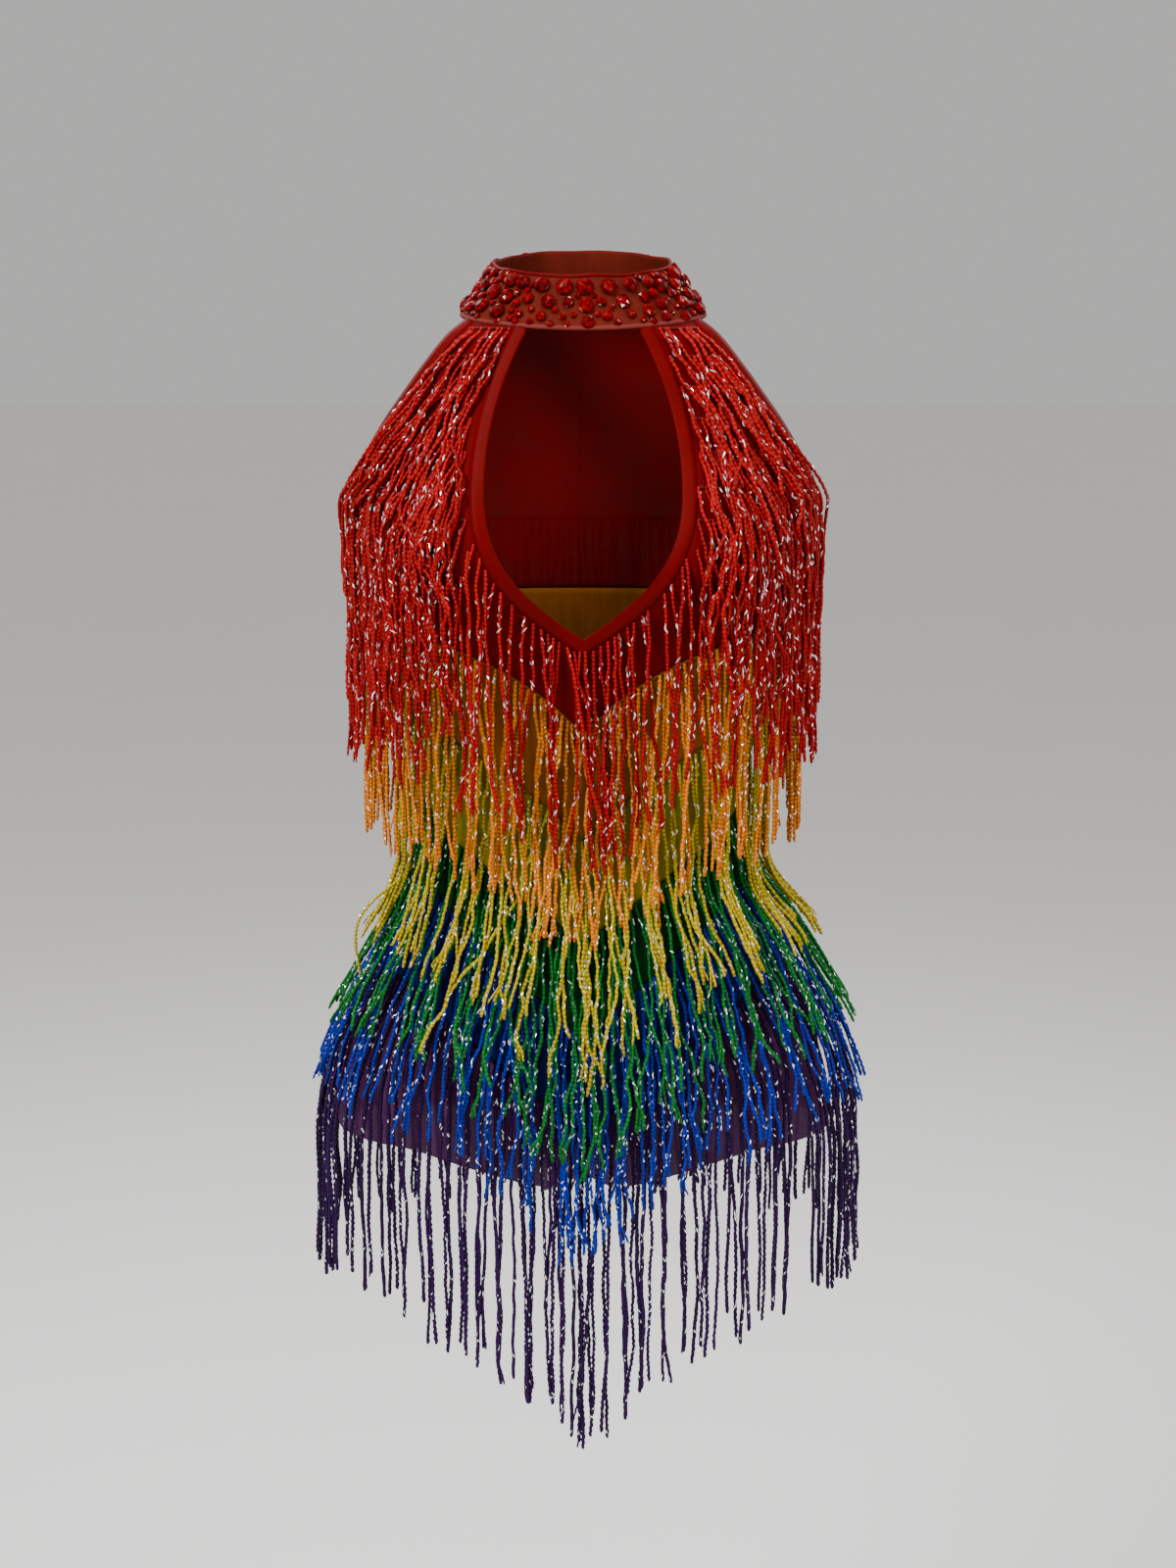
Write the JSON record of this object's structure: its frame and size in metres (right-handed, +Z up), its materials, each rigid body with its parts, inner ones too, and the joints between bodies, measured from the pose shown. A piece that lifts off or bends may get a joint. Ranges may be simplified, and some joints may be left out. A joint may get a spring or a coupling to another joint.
{
  "type": "fringe bodysuit",
  "caption": "Sleeveless halter-neck stage bodysuit of sheer stretch mesh with a front keyhole, a stone-set stand collar and chevron colour bands, each edged with hanging twisted fringe.",
  "frame": {"origin": "on the neck's axis, at the middle height of the collar", "axes": "+Z up out of the neck opening, -Y to the front with the keyhole, +X to the right of the picture (the wearer's left)"},
  "size_m": [0.3708, 0.253, 0.7672],
  "materials": {
    "collar": "red mesh set with faceted red stones",
    "cloth_red": "sheer stretch mesh, red",
    "cloth_orange": "sheer stretch mesh, orange",
    "cloth_yellow": "sheer stretch mesh, yellow",
    "cloth_green": "sheer stretch mesh, green",
    "cloth_blue": "sheer stretch mesh, blue",
    "cloth_purple": "sheer stretch mesh, purple",
    "binding": "satin elastic binding, red",
    "fringe_red": "twisted cord fringe with silver tinsel, red",
    "fringe_orange": "twisted cord fringe with silver tinsel, orange",
    "fringe_yellow": "twisted cord fringe with silver tinsel, yellow",
    "fringe_green": "twisted cord fringe with silver tinsel, green",
    "fringe_blue": "twisted cord fringe with silver tinsel, blue",
    "fringe_purple": "twisted cord fringe with silver tinsel, purple"
  },
  "bodies": {
    "root": {"collar": "collar", "front_red": "cloth_red", "back_red": "cloth_red", "front_orange": "cloth_orange", "back_orange": "cloth_orange", "front_yellow": "cloth_yellow", "back_yellow": "cloth_yellow", "front_green": "cloth_green", "back_green": "cloth_green", "front_blue": "cloth_blue", "back_blue": "cloth_blue", "front_purple": "cloth_purple", "back_purple": "cloth_purple", "gusset": "cloth_purple", "keyhole_binding": "binding", "armhole_binding_right": "binding", "armhole_binding_left": "binding", "halter_fringe_right_1": "fringe_red", "halter_fringe_right_2": "fringe_red", "halter_fringe_right_3": "fringe_red", "halter_fringe_left_1": "fringe_red", "halter_fringe_left_2": "fringe_red", "halter_fringe_left_3": "fringe_red", "fringe_red": "fringe_red", "fringe_orange": "fringe_orange", "fringe_yellow": "fringe_yellow", "fringe_green": "fringe_green", "fringe_blue": "fringe_blue", "fringe_purple": "fringe_purple"}
  },
  "joints": []
}
